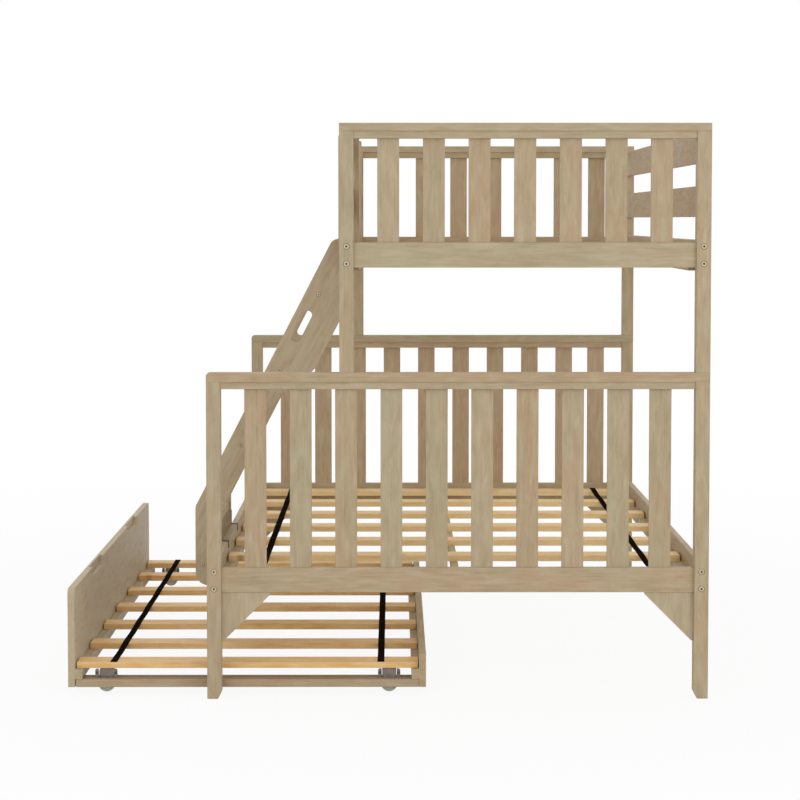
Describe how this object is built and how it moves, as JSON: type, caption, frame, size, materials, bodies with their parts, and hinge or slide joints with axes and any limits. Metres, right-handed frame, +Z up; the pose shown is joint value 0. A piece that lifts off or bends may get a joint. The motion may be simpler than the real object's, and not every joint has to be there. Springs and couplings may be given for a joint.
{
  "type": "bunk bed with trundle",
  "caption": "Wooden bunk bed with a narrower upper bunk, slatted ends and guard planks, a sloping ladder and a trundle that rolls out from under the lower bunk.",
  "frame": {"origin": "on the floor, in the middle of the space covered by bed and trundle in the pictured pose", "axes": "+X across the bed to the side away from the ladder, +Y from the foot end to the head end, +Z up"},
  "size_m": [1.849, 2, 1.651],
  "materials": {
    "washed_wood": "grey-beige washed grain, satin",
    "pine_slats": "bare pine, sanded",
    "strap_webbing": "black woven webbing",
    "zinc_steel": "zinc plated",
    "pressed_steel": "grey, satin",
    "wheel_plastic": "moulded, matt"
  },
  "bodies": {
    "bed": {"barrel_nuts": "zinc_steel", "centre_beam": "washed_wood", "guard_planks_left": "washed_wood", "guard_planks_right": "washed_wood", "guard_supports": "washed_wood", "ladder_hooks": "zinc_steel", "ladder_screws": "zinc_steel", "ladder_spreader": "washed_wood", "ladder_steps": "washed_wood", "ladder_stringer_far": "washed_wood", "ladder_stringer_near": "washed_wood", "lower_bottom_rail_foot": "washed_wood", "lower_bottom_rail_head": "washed_wood", "lower_cap_foot": "washed_wood", "lower_cap_head": "washed_wood", "lower_cleats": "washed_wood", "lower_deck_slats": "pine_slats", "lower_end_slats_foot": "washed_wood", "lower_end_slats_head": "washed_wood", "lower_gussets": "washed_wood", "lower_post_foot_left": "washed_wood", "lower_post_foot_right": "washed_wood", "lower_post_head_left": "washed_wood", "lower_post_head_right": "washed_wood", "lower_side_rail_left": "washed_wood", "lower_side_rail_right": "washed_wood", "lower_straps": "strap_webbing", "lower_top_rail_foot": "washed_wood", "lower_top_rail_head": "washed_wood", "post_pins": "zinc_steel", "rail_bolts": "zinc_steel", "upper_bottom_rail_foot": "washed_wood", "upper_bottom_rail_head": "washed_wood", "upper_cap_foot": "washed_wood", "upper_cap_head": "washed_wood", "upper_cleats": "washed_wood", "upper_deck_slats": "pine_slats", "upper_end_slats_foot": "washed_wood", "upper_end_slats_head": "washed_wood", "upper_post_foot_left": "washed_wood", "upper_post_foot_right": "washed_wood", "upper_post_head_left": "washed_wood", "upper_post_head_right": "washed_wood", "upper_side_rail_left": "washed_wood", "upper_side_rail_right": "washed_wood", "upper_straps": "strap_webbing", "upper_top_rail_foot": "washed_wood", "upper_top_rail_head": "washed_wood"},
    "trundle": {"trundle_cleats": "washed_wood", "trundle_cross_boards": "washed_wood", "trundle_front_panel": "washed_wood", "trundle_rear_panel": "washed_wood", "trundle_slats": "pine_slats", "trundle_straps": "strap_webbing", "caster_covers": "pressed_steel", "caster_axles": "zinc_steel"},
    "wheel_front_foot": {"wheel_front_foot": "wheel_plastic"},
    "wheel_front_head": {"wheel_front_head": "wheel_plastic"},
    "wheel_rear_foot": {"wheel_rear_foot": "wheel_plastic"},
    "wheel_rear_head": {"wheel_rear_head": "wheel_plastic"}
  },
  "joints": [
    {"name": "trundle_slide", "type": "slide", "parent": "bed", "child": "trundle", "axis": [-1, 0, 0], "range_m": [-0.313, 0.6]},
    {"name": "wheel_front_foot_spin", "type": "hinge", "parent": "trundle", "child": "wheel_front_foot", "pos_m": [-0.8175, -0.896, 0.025], "axis": [0, 1, 0], "continuous": true},
    {"name": "wheel_front_head_spin", "type": "hinge", "parent": "trundle", "child": "wheel_front_head", "pos_m": [-0.8175, 0.896, 0.025], "axis": [0, 1, 0], "continuous": true},
    {"name": "wheel_rear_foot_spin", "type": "hinge", "parent": "trundle", "child": "wheel_rear_foot", "pos_m": [0.0075, -0.896, 0.025], "axis": [0, 1, 0], "continuous": true},
    {"name": "wheel_rear_head_spin", "type": "hinge", "parent": "trundle", "child": "wheel_rear_head", "pos_m": [0.0075, 0.896, 0.025], "axis": [0, 1, 0], "continuous": true}
  ],
  "couplings": [
    {"joint": "wheel_front_foot_spin", "follows": "trundle_slide", "rad_per_m": -40},
    {"joint": "wheel_front_head_spin", "follows": "trundle_slide", "rad_per_m": -40},
    {"joint": "wheel_rear_foot_spin", "follows": "trundle_slide", "rad_per_m": -40},
    {"joint": "wheel_rear_head_spin", "follows": "trundle_slide", "rad_per_m": -40}
  ]
}
